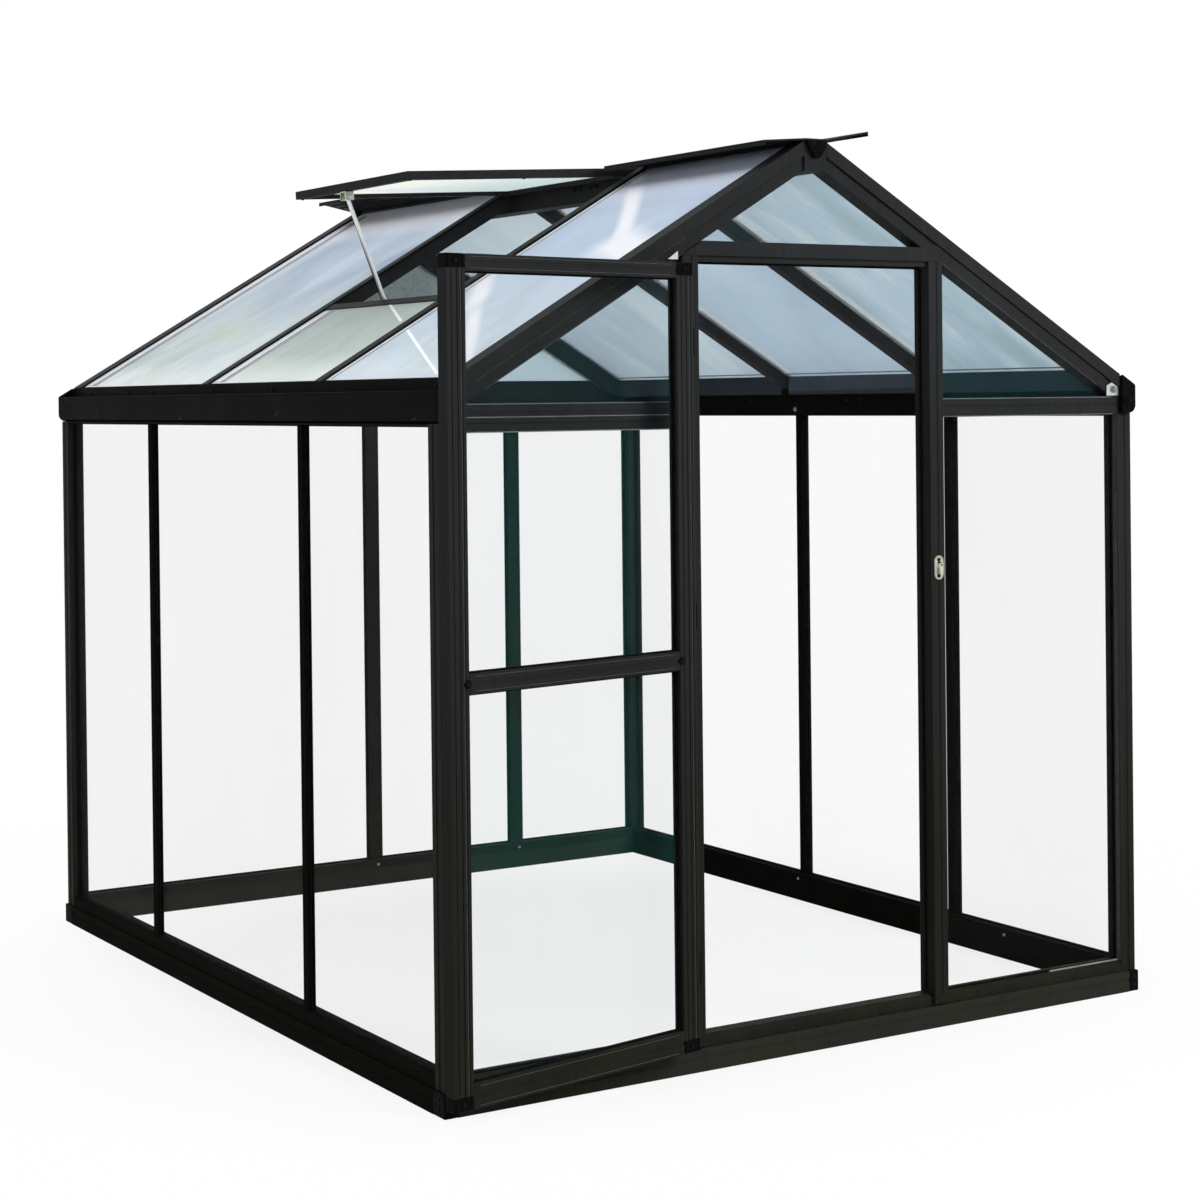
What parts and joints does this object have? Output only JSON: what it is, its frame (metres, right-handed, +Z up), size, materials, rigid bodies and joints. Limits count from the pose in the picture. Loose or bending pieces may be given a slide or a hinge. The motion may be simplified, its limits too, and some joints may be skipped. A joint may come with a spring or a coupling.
{
  "type": "walk-in garden greenhouse",
  "caption": "Walk-in garden greenhouse with a slim dark metal frame, clear wall sheets, tinted roof sheets, a propped roof vent and a hinged door.",
  "frame": {"origin": "on the ground, under the middle of the whole greenhouse as it stands with its door open", "axes": "+Z up; +Y from the door end to the back end, along the ridge; +X to the right seen from the door end"},
  "size_m": [1.9842, 2.4432, 2.048],
  "materials": {
    "dark_frame": "satin powder coat, near black",
    "base_frame": "satin powder coat, black",
    "black_plastic": "moulded black plastic, fine grain",
    "bare_metal": "bright mill finish",
    "wall_sheet": "clear smooth sheet",
    "roof_sheet": "pale blue tinted sheet, faint ribs"
  },
  "bodies": {
    "house": {"base_side_rails": "base_frame", "base_end_rails": "base_frame", "base_corner_blocks": "black_plastic", "side_sills": "dark_frame", "end_sills": "dark_frame", "corner_posts": "dark_frame", "left_wall_mullions": "dark_frame", "right_wall_mullions": "dark_frame", "back_wall_mullions": "dark_frame", "door_jamb_left": "dark_frame", "door_jamb_right": "dark_frame", "door_header": "dark_frame", "side_eave_beams": "dark_frame", "front_eave_beams": "dark_frame", "back_eave_beam": "dark_frame", "gutters": "dark_frame", "gutter_end_caps": "black_plastic", "front_rafters": "dark_frame", "back_rafters": "dark_frame", "left_roof_bars": "dark_frame", "right_roof_bars": "dark_frame", "ridge_beam": "dark_frame", "ridge_cap": "dark_frame", "ridge_cap_lips": "dark_frame", "ridge_end_caps": "black_plastic", "vent_sill": "dark_frame", "vent_frame": "dark_frame", "vent_pane": "roof_sheet", "vent_stay": "bare_metal", "vent_stay_bracket": "bare_metal", "vent_stay_rest": "black_plastic", "left_wall_panes": "wall_sheet", "right_wall_panes": "wall_sheet", "front_wall_panes": "wall_sheet", "back_wall_panes": "wall_sheet", "front_gable_panes": "roof_sheet", "back_gable_pane": "roof_sheet", "left_roof_panes": "roof_sheet", "right_roof_panes": "roof_sheet", "latch_keep": "bare_metal", "jamb_hinges": "black_plastic"},
    "door": {"door_hinges": "black_plastic", "door_stiles": "dark_frame", "door_rails": "dark_frame", "door_panes": "wall_sheet", "door_corner_blocks": "black_plastic"}
  },
  "joints": [
    {"name": "door_hinge", "type": "hinge", "parent": "house", "child": "door", "pos_m": [-0.32386, -1.08536, 0.9025], "axis": [0, 0, 1], "range_deg": [0, 170]}
  ]
}
